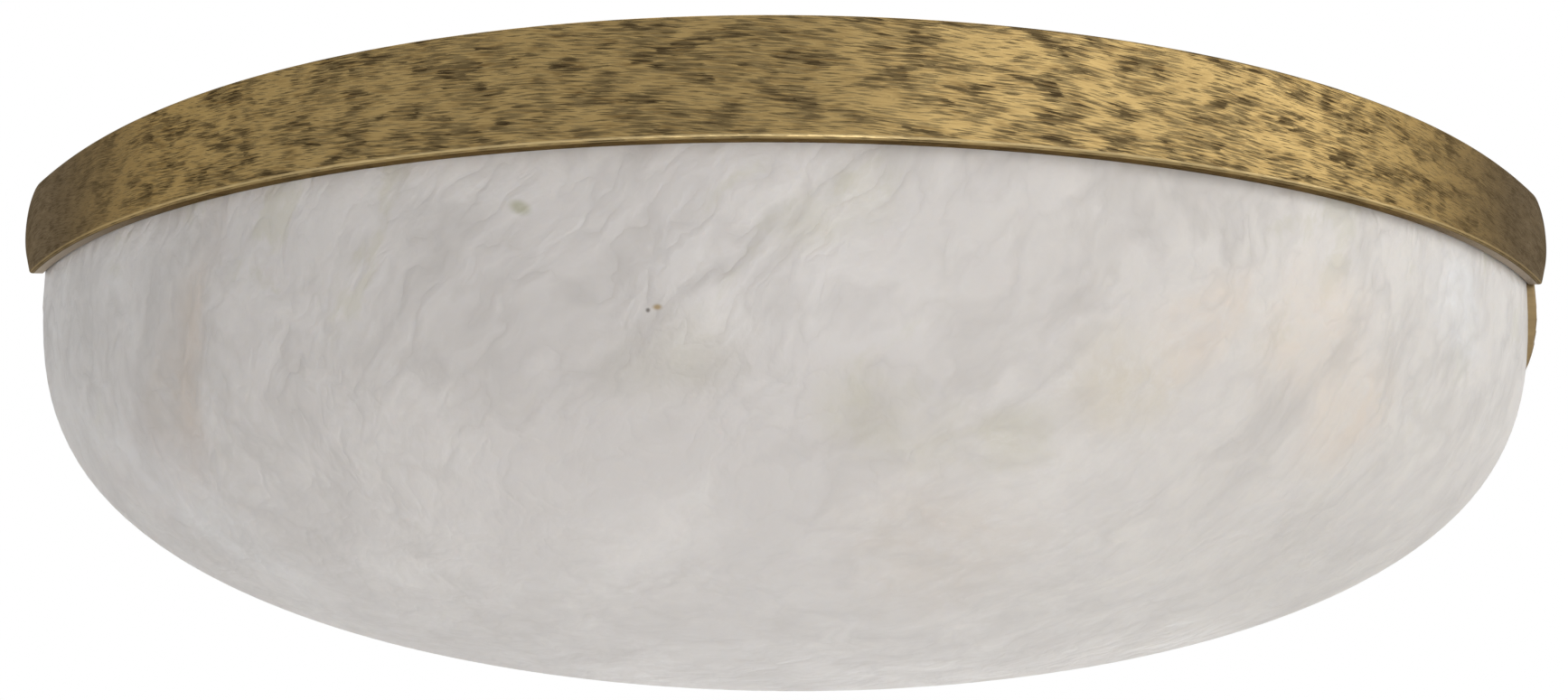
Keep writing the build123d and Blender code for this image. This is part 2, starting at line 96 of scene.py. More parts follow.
class Graph:
    """A material's node tree with short calls that add nodes and link them."""

    def __init__(self, name: str) -> None:
        """Makes an empty material with one shader.

        Args:
            name: The material's name.
        """
        self.material = bpy.data.materials.new(name)
        self.material.use_nodes = True
        self.tree = self.material.node_tree
        self.tree.nodes.clear()
        self.out = self.tree.nodes.new("ShaderNodeOutputMaterial")
        self.shader = self.tree.nodes.new("ShaderNodeBsdfPrincipled")
        self.tree.links.new(self.shader.outputs["BSDF"], self.out.inputs["Surface"])

    def node(self, kind: str, inputs: dict[str | int, Value] | None = None,
             **settings: str | bool) -> bpy.types.Node:
        """Adds a node.

        Args:
            kind: The node's type name without the ShaderNode prefix.
            inputs: Values or sockets by input name or index.
            settings: Properties of the node itself.

        Returns:
            The new node.
        """
        made = self.tree.nodes.new("ShaderNode" + kind)
        for key, value in settings.items():
            setattr(made, key, value)
        for key, value in (inputs or {}).items():
            self.feed(made.inputs[key], value)
        return made

    def feed(self, socket: Socket, value: Value) -> None:
        """Sets a socket to a value, or links it to another node's output.

        Args:
            socket: The input to fill.
            value: An output socket, a number or a colour.
        """
        if isinstance(value, bpy.types.NodeSocket):
            self.tree.links.new(value, socket)
        elif isinstance(value, tuple) and socket.type == "RGBA":
            socket.default_value = (*value, 1.0)
        else:
            socket.default_value = value

    def objects(self) -> Socket:
        """Gives the Object coordinates."""
        return self.node("TexCoord").outputs["Object"]

    def uv(self) -> Socket:
        """Gives the piece's own UV coordinates."""
        return self.node("UVMap", uv_map="along").outputs["UV"]

    def stretch(self, vector: Socket, scale: Triple, shift: Triple = (0.0, 0.0, 0.0),
                turn: Triple = (0.0, 0.0, 0.0)) -> Socket:
        """Scales, turns and moves coordinates.

        Args:
            vector: The coordinates.
            scale: Factor along each axis.
            shift: Shift after scaling.
            turn: Turn about each axis, in radians.

        Returns:
            The new coordinates.
        """
        made = self.node("Mapping", {"Vector": vector, "Scale": scale, "Location": shift,
                                     "Rotation": turn})
        return made.outputs["Vector"]

    def math(self, operation: str, first: Value, second: Value = 0.0, clamp: bool = False) -> Socket:
        """Adds a Math node and gives its output.

        Args:
            operation: The node's operation name.
            first: First value or socket.
            second: Second value or socket.
            clamp: Whether the result is kept in 0 to 1.

        Returns:
            The result.
        """
        made = self.node("Math", {0: first, 1: second}, operation=operation, use_clamp=clamp)
        return made.outputs[0]

    def weigh(self, first: Value, share: float, second: Value, other: float) -> Socket:
        """Adds two values, each times its own share.

        Args:
            first: First value or socket.
            share: Its share.
            second: Second value or socket.
            other: Its share.

        Returns:
            The sum.
        """
        return self.math("ADD", self.math("MULTIPLY", first, share), self.math("MULTIPLY", second, other))

    def noise(self, vector: Socket, grain: Grain) -> Socket:
        """Adds a Noise texture and gives its grey output.

        Args:
            vector: The coordinates.
            grain: The noise's sizes.

        Returns:
            A value round 0.5.
        """
        if grain.stretch is not None:
            vector = self.stretch(vector, grain.stretch, grain.shift)
        made = self.node("TexNoise", {"Vector": vector, "Scale": grain.scale, "Detail": grain.detail,
                                      "Roughness": grain.rough, "Distortion": grain.warp})
        return made.outputs["Fac"]

    def spread(self, value: Value, low: float, high: float, to_low: float = 0.0,
               to_high: float = 1.0, smooth: bool = False) -> Socket:
        """Maps a range to another one and keeps the result inside it.

        Args:
            value: Value or socket.
            low: Start of the range.
            high: End of the range.
            to_low: Result at the start.
            to_high: Result at the end.
            smooth: Whether the step is eased.

        Returns:
            The mapped value.
        """
        made = self.node("MapRange", {"Value": value, "From Min": low, "From Max": high,
                                      "To Min": to_low, "To Max": to_high},
                         interpolation_type="SMOOTHSTEP" if smooth else "LINEAR")
        return made.outputs["Result"]

    def mix(self, amount: Value, first: Value, second: Value) -> Socket:
        """Mixes two colours.

        Args:
            amount: Share of the second colour.
            first: First colour or socket.
            second: Second colour or socket.

        Returns:
            The mixed colour.
        """
        made = self.node("Mix", data_type="RGBA")
        factor, colour_a, colour_b = (made.inputs[number] for number in (0, 6, 7))
        self.feed(factor, amount)
        self.feed(colour_a, first)
        self.feed(colour_b, second)
        return made.outputs[2]

    def bump(self, height: Value, distance: float, strength: float = 1.0,
             normal: Socket | None = None) -> Socket:
        """Adds a Bump node.

        Args:
            height: Height from 0 to 1.
            distance: Depth of the relief, in metres.
            strength: Strength of the effect.
            normal: Another bump to build on.

        Returns:
            The bent normal.
        """
        made = self.node("Bump", {"Height": height, "Distance": distance, "Strength": strength})
        if normal is not None:
            self.feed(made.inputs["Normal"], normal)
        return made.outputs["Normal"]

    def shade(self, **values: Value) -> bpy.types.Material:
        """Fills the shader's sockets and gives the material.

        Args:
            values: Sockets by name, with _ for spaces.

        Returns:
            The finished material.
        """
        for key, value in values.items():
            self.feed(self.shader.inputs[key.replace("_", " ")], value)
        return self.material


# Finishes


@dataclass(frozen=True)
class ChasedBrass:
    """Dark burnished brass, struck all over with short gouges that follow the band.

    Each layer of strokes is a shift in the pattern and a factor on the strokes' size. The
    last layer strikes only in the smudges. Between grey_from and grey_full from its ends,
    half_length from its middle, the band is painted dark grey: painted shade that stands in
    for the darker reflection at its ends.
    """

    gold: Colour = (0.318, 0.222, 0.090)
    brown: Colour = (0.105, 0.066, 0.026)
    # Painted shade: colour of the band's darkened ends, standing in for their darker reflection.
    grey: Colour = (0.052, 0.040, 0.028)
    cut: Colour = (0.020, 0.012, 0.006)
    # Painted highlight: colour of the bright rims round the strokes.
    painted_rim_highlight: Colour = (0.50, 0.385, 0.19)
    # Painted highlight: colour of the bright line along the low outer edge.
    edge: Colour = (0.50, 0.38, 0.19)
    # Painted reflection: colour of the pale underside near the band's ends.
    pale: Colour = (0.50, 0.45, 0.39)
    shine: Colour = (0.72, 0.62, 0.50)
    stroke_length: float = 8.0 * MM
    stroke_pitch: float = 0.56 * MM
    stroke_depth: float = 0.34 * MM
    stroke_edge: float = 0.045
    least_reach: float = 0.22
    layers: tuple[tuple[float, float], ...] = ((0.0, 1.0), (7.3, 0.78), (3.9, 0.9))
    sway: float = 1.6 * MM
    slope: float = 0.06
    rolled_depth: float = 0.14 * MM
    half_length: float = 0.2355
    grey_from: float = 110.0 * MM
    grey_full: float = 30.0 * MM
    edge_low: float = 0.3 * MM
    edge_full: float = 0.5 * MM
    edge_high: float = 0.9 * MM
    patch: Grain = Grain(1.0, 2.0, 0.55, 0.3, (70.0, 200.0, 1.0))
    cloud: Grain = Grain(1.0, 2.0, 0.5, 0.2, (135.0, 390.0, 1.0), (3.1, 1.7, 0.0))
    hair: Grain = Grain(1.0, 1.0, 0.5, 0.0, (220.0, 3600.0, 1.0))
    rolled: Grain = Grain(1.0, 3.0, 0.6, 0.0, (200.0, 1400.0, 1.0))
    wander: Grain = Grain(1.0, 1.0, 0.5, 0.0, (34.0, 40.0, 1.0), (0.0, 4.4, 0.0))
    shiver: Grain = Grain(1.0, 2.0, 0.5, 0.0, (300.0, 420.0, 1.0), (2.0, 1.0, 0.0))

    def material(self) -> bpy.types.Material:
        """Builds the material; UV is metres along the band and metres up it.

        Returns:
            The finished material.
        """
        g = Graph("chased_brass")
        uv = g.uv()
        parts = g.node("SeparateXYZ", {"Vector": uv})
        along, up = parts.outputs["X"], parts.outputs["Y"]
        lie = self._sway(g, uv, along, up)
        dense = g.spread(g.noise(uv, self.patch), 0.36, 0.58, smooth=True)
        cloud = g.noise(lie, self.cloud)
        smudge = g.spread(cloud, 0.46, 0.61, smooth=True)
        smudge = g.math("MULTIPLY", g.spread(dense, 0.0, 1.0, 0.25, 1.0), smudge)
        hair = g.noise(lie, self.hair)
        ends = g.spread(g.math("ABSOLUTE", along), self.half_length - self.grey_from,
                        self.half_length - self.grey_full, smooth=True)
        cuts, near = self._cuts(g, lie, dense, smudge)
        depth = g.weigh(dense, 0.10, smudge, 0.20)
        mask = g.math("MULTIPLY", cuts, g.math("ADD", depth, 0.80), clamp=True)
        mask = g.math("MULTIPLY", mask, g.spread(hair, 0.40, 0.58, 1.0, 0.76))
        mask = g.math("MULTIPLY", mask, g.spread(ends, 0.0, 1.0, 0.94, 0.45))
        # Painted highlight: a bright rim just outside each stroke, standing in for the glint along its
        # edge.
        painted_rim_highlight = g.spread(near, -0.09, -0.01, smooth=True)
        base = self._tone(g, dense, smudge, hair)
        base = g.mix(g.math("MULTIPLY", painted_rim_highlight, 0.30), base, self.painted_rim_highlight)
        # Painted shade: darkens the band towards its ends, standing in for the darker reflection there.
        base = g.mix(g.math("MULTIPLY", ends, 0.88), base, self.grey)
        base = g.mix(mask, base, self.cut)
        base = self._edges(g, base, up, ends)
        normal = g.bump(g.noise(lie, self.rolled), self.rolled_depth, 0.6)
        normal = g.bump(g.math("SUBTRACT", 1.0, cuts), self.stroke_depth, 1.0, normal)
        rough = g.spread(mask, 0.0, 1.0, 0.36, 0.60)
        rough = g.math("ADD", rough, g.math("MULTIPLY", g.math("SUBTRACT", cloud, 0.5), 0.22))
        rough = g.math("ADD", rough, g.math("MULTIPLY", ends, 0.10), clamp=True)
        return g.shade(Base_Color=base, Metallic=1.0, Roughness=rough, Normal=normal,
                       Specular_Tint=self.shine)

    def _tone(self, g: Graph, dense: Socket, smudge: Socket, hair: Socket) -> Socket:
        """Gold that turns brown in smudges, in hair lines and where the strokes crowd.

        Args:
            g: The material's graph.
            dense: 1 where the strokes crowd.
            smudge: 1 in a dark smudge.
            hair: Fine lines along the strokes.

        Returns:
            The colour between the strokes.
        """
        fray = g.spread(hair, 0.36, 0.64, -0.20, 0.50)
        fray = g.math("MULTIPLY", fray, g.spread(dense, 0.0, 0.7, 0.35, 1.0))
        tone = g.math("ADD", g.weigh(dense, 0.20, smudge, 0.42), fray, clamp=True)
        return g.mix(tone, self.gold, self.brown)

    def _edges(self, g: Graph, base: Socket, up: Socket, ends: Socket) -> Socket:
        """Paints a bright line along the low outer edge as a painted highlight, the underside darker
        brown as a painted shade, and the underside pale near the ends as a painted reflection.

        Args:
            g: The material's graph.
            base: The colour so far.
            up: Metres up from the low edge, below zero on the underside.
            ends: 1 at the band's ends.

        Returns:
            The colour with its edges.
        """
        # Painted highlight: a bright line along the low outer edge, fainter towards the ends.
        line = g.math("MULTIPLY", g.spread(up, self.edge_high, self.edge_full, smooth=True),
                      g.spread(up, 0.0, self.edge_low, smooth=True))
        line = g.math("MULTIPLY", line, g.spread(ends, 0.0, 1.0, 0.75, 0.35))
        base = g.mix(line, base, self.edge)
        # Painted shade: the band's underside is painted darker brown.
        under = g.spread(up, 0.0, -self.edge_low, smooth=True)
        base = g.mix(g.math("MULTIPLY", under, 0.55), base, self.brown)
        # Painted reflection: the underside turns pale near the ends, standing in for the white it reflects
        # there.
        return g.mix(g.math("MULTIPLY", under, g.math("MULTIPLY", ends, 0.8)), base, self.pale)

    def _sway(self, g: Graph, uv: Socket, along: Socket, up: Socket) -> Socket:
        """Bends the strokes' lines a little up and down, as the maker's hand did.

        Args:
            g: The material's graph.
            uv: Metres along and up the band.
            along: Its first part.
            up: Its second part.

        Returns:
            The bent coordinates.
        """
        wide = g.math("SUBTRACT", g.noise(uv, self.wander), 0.5)
        near = g.math("SUBTRACT", g.noise(uv, self.shiver), 0.5)
        shift = g.weigh(wide, 2.0 * self.sway, near, 0.12 * self.sway)
        shift = g.math("ADD", shift, g.math("MULTIPLY", along, self.slope))
        return g.node("CombineXYZ", {"X": along, "Y": g.math("ADD", up, shift)}).outputs[0]

    def _cuts(self, g: Graph, lie: Socket, dense: Socket, smudge: Socket) -> tuple[Socket, Socket]:
        """All layers of strokes together: the largest of each layer's two values.

        Args:
            g: The material's graph.
            lie: The strokes' coordinates, in metres.
            dense: 1 where the strokes crowd.
            smudge: 1 in a dark smudge.

        Returns:
            Up to 1 in a stroke and 0 beside it, and how far inside its outline a point lies.
        """
        reach = g.math("ADD", g.weigh(dense, 0.17, smudge, 0.07), self.least_reach)
        reaches = (reach, reach, g.math("MULTIPLY", reach, smudge))
        made = [self._strokes(g, lie, far, seed, size) for far, (seed, size) in zip(reaches, self.layers)]
        cuts, near = made[0]
        for more_cuts, more_near in made[1:]:
            cuts = g.math("MAXIMUM", cuts, more_cuts)
            near = g.math("MAXIMUM", near, more_near)
        return cuts, near

    def _strokes(self, g: Graph, lie: Socket, reach: Socket, seed: float,
                 size: float) -> tuple[Socket, Socket]:
        """One layer of strokes: long thin rhombs round scattered points.

        Args:
            g: The material's graph.
            lie: The strokes' coordinates, in metres.
            reach: Half a stroke's size, as a part of the strokes' pitch.
            seed: Shift that makes layers differ.
            size: Factor on the strokes' size.

        Returns:
            Up to 1 in a stroke and 0 beside it, and how far inside its outline a point lies.
        """
        scale = (1.0 / (self.stroke_length * size), 1.0 / (self.stroke_pitch * size), 1.0)
        place = g.stretch(lie, scale, (seed, 0.7 * seed, 0.0))
        cells = g.node("TexVoronoi", {"Vector": place, "Scale": 1.0, "Randomness": 1.0},
                       voronoi_dimensions="2D", distance="MANHATTAN")
        random = g.node("SeparateXYZ", {"Vector": cells.outputs["Color"]}).outputs["X"]
        depth = g.math("SUBTRACT", reach, cells.outputs["Distance"])
        inside = g.spread(depth, 0.0, self.stroke_edge, smooth=True)
        return g.math("MULTIPLY", inside, g.spread(random, 0.0, 1.0, 0.50, 1.0)), depth


@dataclass(frozen=True)
class Stain:
    """One soft discoloured place in the stone, as an ellipse seen from the front.

    The half axes are wide and tall, the amount is its full share of the colour, and the
    lean turns it, in radians. A speck is small, and keeps a clean outline.
    """

    x: float
    z: float
    wide: float
    tall: float
    tint: Colour
    amount: float
    lean: float = 0.0

    def is_speck(self) -> bool:
        """Tells whether the stain is at most 3 mm to either side."""
        return self.wide <= 3.0 * MM


@dataclass(frozen=True)
class Alabaster:
    """Cloudy white stone with creased grey veins, milky flecks and warm and olive stains, and a
    whitish streak at the lower left that is partly a painted highlight.

    Each bend is a noise's scale and how far it pushes the pattern, each fold a noise's
    scale, its share and its shift. The lean turns the veins, in radians.
    """

    white: Colour = (0.83, 0.790, 0.757)
    cloud: Colour = (0.73, 0.690, 0.662)
    vein: Colour = (0.47, 0.435, 0.405)
    milk: Colour = (0.88, 0.855, 0.83)
    cream: Colour = (0.84, 0.79, 0.715)
    olive: Colour = (0.66, 0.625, 0.50)
    lean: float = 0.85
    bends: tuple[tuple[float, float], ...] = ((9.0, 40.0 * MM), (70.0, 7.0 * MM))
    folds: tuple[Triple, ...] = ((24.0, 0.38, 0.0), (62.0, 0.34, 4.0), (160.0, 0.28, 9.0))
    fold_width: float = 0.16
    crease_depth: float = 1.6 * MM
    mottle_depth: float = 0.5 * MM
    skin_depth: float = 0.05 * MM
    drift: Grain = Grain(15.0, 7.0, 0.58, stretch=(0.7, 1.0, 1.5))
    mottle: Grain = Grain(75.0, 8.0, 0.72, stretch=(0.8, 1.0, 1.3), shift=(0.7, 0.2, 0.4))
    tinge: Grain = Grain(40.0, 6.0, 0.60, stretch=(0.8, 1.0, 1.6), shift=(5.1, 0.0, 3.3))
    flecks: Grain = Grain(210.0, 6.0, 0.70, stretch=(0.5, 1.0, 1.4), shift=(1.7, 0.0, 0.9))
    ragged: Grain = Grain(90.0, 6.0, 0.66)
    skin: Grain = Grain(900.0, 3.0, 0.6)
    stains: tuple[Stain, ...] = (
        Stain(-0.131, 0.002, 0.024, 0.006, (0.66, 0.535, 0.42), 0.39, 1.30),
        Stain(-0.139, -0.003, 0.016, 0.007, (0.68, 0.56, 0.45), 0.30, 1.05),
        Stain(-0.150, -0.022, 0.020, 0.010, (0.72, 0.62, 0.59), 0.30),
        Stain(-0.024, -0.013, 0.014, 0.009, (0.60, 0.56, 0.46), 0.43, 0.3),
        Stain(0.013, -0.021, 0.009, 0.008, (0.62, 0.58, 0.45), 0.54),
        Stain(0.035, -0.025, 0.015, 0.005, (0.62, 0.58, 0.44), 0.47, 0.3),
        Stain(0.062, -0.010, 0.013, 0.009, (0.66, 0.58, 0.44), 0.47, 0.5),
        Stain(0.079, 0.003, 0.014, 0.006, (0.86, 0.72, 0.58), 0.46, 0.9),
        Stain(0.107, 0.002, 0.018, 0.014, (0.88, 0.75, 0.62), 0.46, 0.7),
        Stain(0.121, -0.016, 0.016, 0.009, (0.86, 0.72, 0.58), 0.43, 0.4),
        Stain(0.028, -0.044, 0.018, 0.012, (0.68, 0.60, 0.52), 0.43),
        Stain(0.007, 0.016, 0.014, 0.007, (0.70, 0.665, 0.54), 0.43, 0.5),
        # Partly painted highlight: this whitish streak lies along the lower left curve where a reflection
        # shows, and also stands for the stone's white speckle there.
        Stain(-0.143, -0.028, 0.036, 0.007, (0.92, 0.91, 0.90), 0.50, -0.47),
        Stain(0.161, 0.010, 0.010, 0.012, (0.93, 0.925, 0.92), 0.72),
        Stain(-0.0496, 0.0198, 0.0021, 0.0012, (0.52, 0.50, 0.38), 0.95, -0.4),
        Stain(-0.0239, 0.0011, 0.0008, 0.0005, (0.42, 0.27, 0.08), 1.0),
        Stain(-0.0256, 0.0006, 0.0004, 0.0004, (0.12, 0.10, 0.08), 1.0),
    )

    def material(self) -> bpy.types.Material:
        """Builds the material on Object coordinates.

        Returns:
            The finished material.
        """
        g = Graph("alabaster")
        place = g.objects()
        flow = place
        for scale, far in self.bends:
            flow = self._push(g, flow, scale, far)
        slanted = g.stretch(flow, (1.0, 1.0, 1.0), turn=(0.0, self.lean, 0.0))
        drift = g.noise(slanted, self.drift)
        mottle = g.noise(slanted, self.mottle)
        creases = self._creases(g, slanted)
        sides = g.node("SeparateXYZ", {"Vector": place})
        right = g.spread(sides.outputs["X"], -0.02, 0.13, smooth=True)
        top = g.spread(sides.outputs["Z"], -0.035, 0.012, smooth=True)
        base = g.mix(g.spread(drift, 0.36, 0.62, smooth=True), self.cloud, self.white)
        base = g.mix(g.math("MULTIPLY", right, 0.55), base, self.cream)
        base = g.mix(g.math("MULTIPLY", g.spread(mottle, 0.60, 0.40), 0.55), base, self.cloud)
        tinge = g.spread(g.noise(slanted, self.tinge), 0.57, 0.66, smooth=True)
        base = g.mix(g.math("MULTIPLY", g.math("MULTIPLY", tinge, top), 0.45), base, self.olive)
        base = self._stained(g, base, place, flow)
        folds = g.math("MULTIPLY", g.spread(creases, 0.05, 0.55, 0.42, 0.0),
                       g.math("ADD", g.math("MULTIPLY", top, 0.5), 0.5))
        base = g.mix(folds, base, self.vein)
        bright = g.math("MULTIPLY", g.spread(g.noise(slanted, self.flecks), 0.56, 0.72),
                        g.spread(drift, 0.40, 0.58, 0.25, 1.0))
        base = g.mix(g.math("MULTIPLY", bright, 0.35), base, self.milk)
        normal = g.bump(g.noise(place, self.skin), self.skin_depth, 0.30)
        normal = g.bump(mottle, self.mottle_depth, 0.40, normal)
        normal = g.bump(creases, self.crease_depth, 0.35, normal)
        rough = g.spread(mottle, 0.35, 0.65, 0.46, 0.34)
        return g.shade(Base_Color=base, Roughness=rough, Normal=normal, IOR=1.52,
                       Subsurface_Weight=0.30, Subsurface_Radius=(1.0, 0.85, 0.65),
                       Subsurface_Scale=0.003, Specular_IOR_Level=0.45)

    def _push(self, g: Graph, place: Socket, scale: float, far: float) -> Socket:
        """Shifts coordinates by a noise, so that forms built on them bend.

        Args:
            g: The material's graph.
            place: The coordinates.
            scale: The noise's scale.
            far: How far the full noise would shift them, in metres.

        Returns:
            The shifted coordinates.
        """
        bend = g.node("TexNoise", {"Vector": place, "Scale": scale, "Detail": 4.0, "Roughness": 0.55})
        off = g.node("VectorMath", {0: bend.outputs["Color"], 1: (0.5, 0.5, 0.5)}, operation="SUBTRACT")
        push = g.node("VectorMath", {0: off.outputs[0], 1: (far, far, far)}, operation="MULTIPLY")
        return g.node("VectorMath", {0: place, 1: push.outputs[0]}, operation="ADD").outputs[0]

    def _stained(self, g: Graph, base: Socket, place: Socket, flow: Socket) -> Socket:
        """Lays every stain over the stone; a speck stays where it is, the others bend.

        Args:
            g: The material's graph.
            base: The colour so far.
            place: The Object coordinates.
            flow: The same, bent.

        Returns:
            The colour with its stains.
        """
        ragged = g.spread(g.noise(flow, self.ragged), 0.36, 0.60)
        for stain in self.stains:
            amount = self._amount(g, place if stain.is_speck() else flow, stain, ragged)
            base = g.mix(amount, base, stain.tint)
        return base

    def _amount(self, g: Graph, place: Socket, stain: Stain, ragged: Socket) -> Socket:
        """How strongly one stain shows: an elliptic falloff broken up by a noise.

        Args:
            g: The material's graph.
            place: The coordinates.
            stain: The stain.
            ragged: The noise that breaks its edge.

        Returns:
            The stain's share of the colour.
        """
        through = 1000.0
        level = g.node("Mapping", {"Vector": place, "Location": (stain.x, 0.0, stain.z),
                                   "Rotation": (0.0, -stain.lean, 0.0),
                                   "Scale": (stain.wide, through, stain.tall)}, vector_type="TEXTURE")
        far = g.node("VectorMath", {0: level.outputs["Vector"]}, operation="LENGTH").outputs["Value"]
        inside = g.spread(far, 1.5, 0.3, smooth=True)
        if not stain.is_speck():
            inside = g.math("MULTIPLY", inside, g.math("ADD", g.math("MULTIPLY", ragged, 0.7), 0.3))
        return g.math("MULTIPLY", inside, stain.amount)

    def _creases(self, g: Graph, slanted: Socket) -> Socket:
        """Puffed clouds with creases between them, from folded noises drawn out along the creases.

        Args:
            g: The material's graph.
            slanted: Coordinates turned along the creases.

        Returns:
            0 in a crease, up to 1 on a cloud.
        """
        total = 0.0
        for scale, share, seed in self.folds:
            grain = Grain(scale, 2.0, 0.45, stretch=(0.42, 1.0, 1.0), shift=(seed, seed, 0.3 * seed))
            fold = g.math("ABSOLUTE", g.math("SUBTRACT", g.noise(slanted, grain), 0.5))
            total = g.math("ADD", g.spread(fold, 0.0, self.fold_width, 0.0, share), total)
        return total


@dataclass(frozen=True)
class PlainMetal:
    """Drawn or turned metal with faint streaks and worn patches."""

    name: str
    bright: Colour
    dark: Colour
    streak: Triple = (40.0, 40.0, 900.0)
    rough: float = 0.36
    depth: float = 0.03 * MM
    worn: Grain = Grain(60.0, 5.0, 0.6, 0.3)

    def material(self) -> bpy.types.Material:
        """Builds the material on Object coordinates.

        Returns:
            The finished material.
        """
        g = Graph(self.name)
        place = g.objects()
        lines = g.noise(place, Grain(1.0, 5.0, 0.65, stretch=self.streak))
        worn = g.noise(place, self.worn)
        base = g.mix(g.spread(lines, 0.25, 0.75), self.dark, self.bright)
        base = g.mix(g.math("MULTIPLY", g.spread(worn, 0.42, 0.68, smooth=True), 0.6), base, self.dark)
        rough = g.spread(worn, 0.3, 0.7, self.rough - 0.08, self.rough + 0.14)
        normal = g.bump(lines, self.depth, 0.35)
        return g.shade(Base_Color=base, Metallic=1.0, Roughness=rough, Normal=normal)


@dataclass(frozen=True)
class Moulding:
    """Moulded, rubber, felt or glass-like material with a fine skin texture."""

    name: str
    light: Colour
    dark: Colour
    rough: float = 0.5
    grain: float = 700.0
    depth: float = 0.03 * MM
    glow: float = 0.0
    clouds: Grain = Grain(45.0, 4.0, 0.6)

    def material(self) -> bpy.types.Material:
        """Builds the material on Object coordinates.

        Returns:
            The finished material.
        """
        g = Graph(self.name)
        place = g.objects()
        skin = g.noise(place, Grain(self.grain, 4.0, 0.6))
        tone = g.spread(g.noise(place, self.clouds), 0.35, 0.65, smooth=True)
        base = g.mix(tone, self.dark, self.light)
        rough = g.spread(skin, 0.3, 0.7, self.rough - 0.05, self.rough + 0.08)
        normal = g.bump(skin, self.depth, 0.5)
        return g.shade(Base_Color=base, Roughness=rough, Normal=normal, Subsurface_Weight=self.glow,
                       Subsurface_Radius=(1.0, 0.95, 0.9), Subsurface_Scale=0.004)


class Finish(Enum):
    """The finishes of the record's plain slots."""

    brass_plain = PlainMetal("aged_brass", (0.245, 0.178, 0.088), (0.150, 0.106, 0.054),
                             (25.0, 900.0, 900.0), 0.40)
    steel = PlainMetal("zinc_steel", (0.52, 0.53, 0.54), (0.36, 0.37, 0.38), (20.0, 500.0, 500.0), 0.38)
    bright_metal = PlainMetal("bright_nickel", (0.70, 0.69, 0.66), (0.50, 0.49, 0.46),
                              (60.0, 700.0, 700.0), 0.24)
    moulding_white = Moulding("white_moulding", (0.78, 0.78, 0.76), (0.71, 0.71, 0.69), 0.42)
    diffuser = Moulding("frosted_diffuser", (0.84, 0.83, 0.80), (0.79, 0.78, 0.75), 0.48,
                        1200.0, 0.02 * MM, 0.3)
    phenolic = Moulding("dark_moulding", (0.055, 0.045, 0.040), (0.032, 0.028, 0.026), 0.38)
    rubber_black = Moulding("black_rubber", (0.035, 0.035, 0.036), (0.022, 0.022, 0.023), 0.62)
    silicone = Moulding("clear_silicone", (0.70, 0.70, 0.69), (0.62, 0.62, 0.61), 0.40,
                        500.0, 0.02 * MM, 0.2)
    felt = Moulding("brown_felt", (0.20, 0.16, 0.12), (0.12, 0.095, 0.075), 0.9, 2600.0, 0.25 * MM)
    lead_live = Moulding("black_lead", (0.040, 0.038, 0.038), (0.024, 0.023, 0.023), 0.45)
    lead_neutral = Moulding("white_lead", (0.74, 0.74, 0.72), (0.66, 0.66, 0.64), 0.45)
    lead_earth = Moulding("green_lead", (0.06, 0.24, 0.08), (0.04, 0.17, 0.06), 0.45)


# Shapes


def linked(name: str, data: bpy.types.ID) -> bpy.types.Object:
    """Makes an object of a mesh, lamp or camera and links it to the scene.

    Args:
        name: The object's name.
        data: What it shows.

    Returns:
        The new object, at the origin.
    """
    made = bpy.data.objects.new(name, data)
    bpy.context.scene.collection.objects.link(made)
    return made


def grid_faces(rows: int, columns: int) -> np.ndarray:
    """Quads of a grid whose vertex (i, j) is number i * columns + j; its last column joins the first.

    Args:
        rows: Number of vertex rows.
        columns: Number of vertex columns.

    Returns:
        One row of four vertex numbers for each quad.
    """
    i, j = np.meshgrid(np.arange(rows - 1), np.arange(columns), indexing="ij")
    after = (j + 1) % columns
    here, there = i * columns, (i + 1) * columns
    return np.stack([here + j, there + j, there + after, here + after], -1).reshape(-1, 4)


def mesh_piece(name: str, points: np.ndarray, faces: list[list[int]], uv: np.ndarray | None = None,
               smooth_angle: float = 40.0) -> bpy.types.Object:
    """Puts vertices and faces into a new object at the origin.

    Args:
        name: The piece's name.
        points: Vertices in metres, one row each.
        faces: Vertex numbers of each face.
        uv: Metres along and up the piece for each vertex.
        smooth_angle: Edges sharper than this, in degrees, stay sharp.

    Returns:
        The new object.
    """
    mesh = bpy.data.meshes.new(name)
    mesh.from_pydata(points.tolist(), [], faces)
    mesh.update()
    if uv is not None:
        layer = mesh.uv_layers.new(name="along")
        corner = np.empty(len(mesh.loops), dtype=np.int32)
        mesh.loops.foreach_get("vertex_index", corner)
        layer.data.foreach_set("uv", uv[corner].astype(np.float32).ravel())
    mesh.polygons.foreach_set("use_smooth", np.ones(len(mesh.polygons), dtype=bool))
    mesh.set_sharp_from_angle(angle=math.radians(smooth_angle))
    return linked(name, mesh)


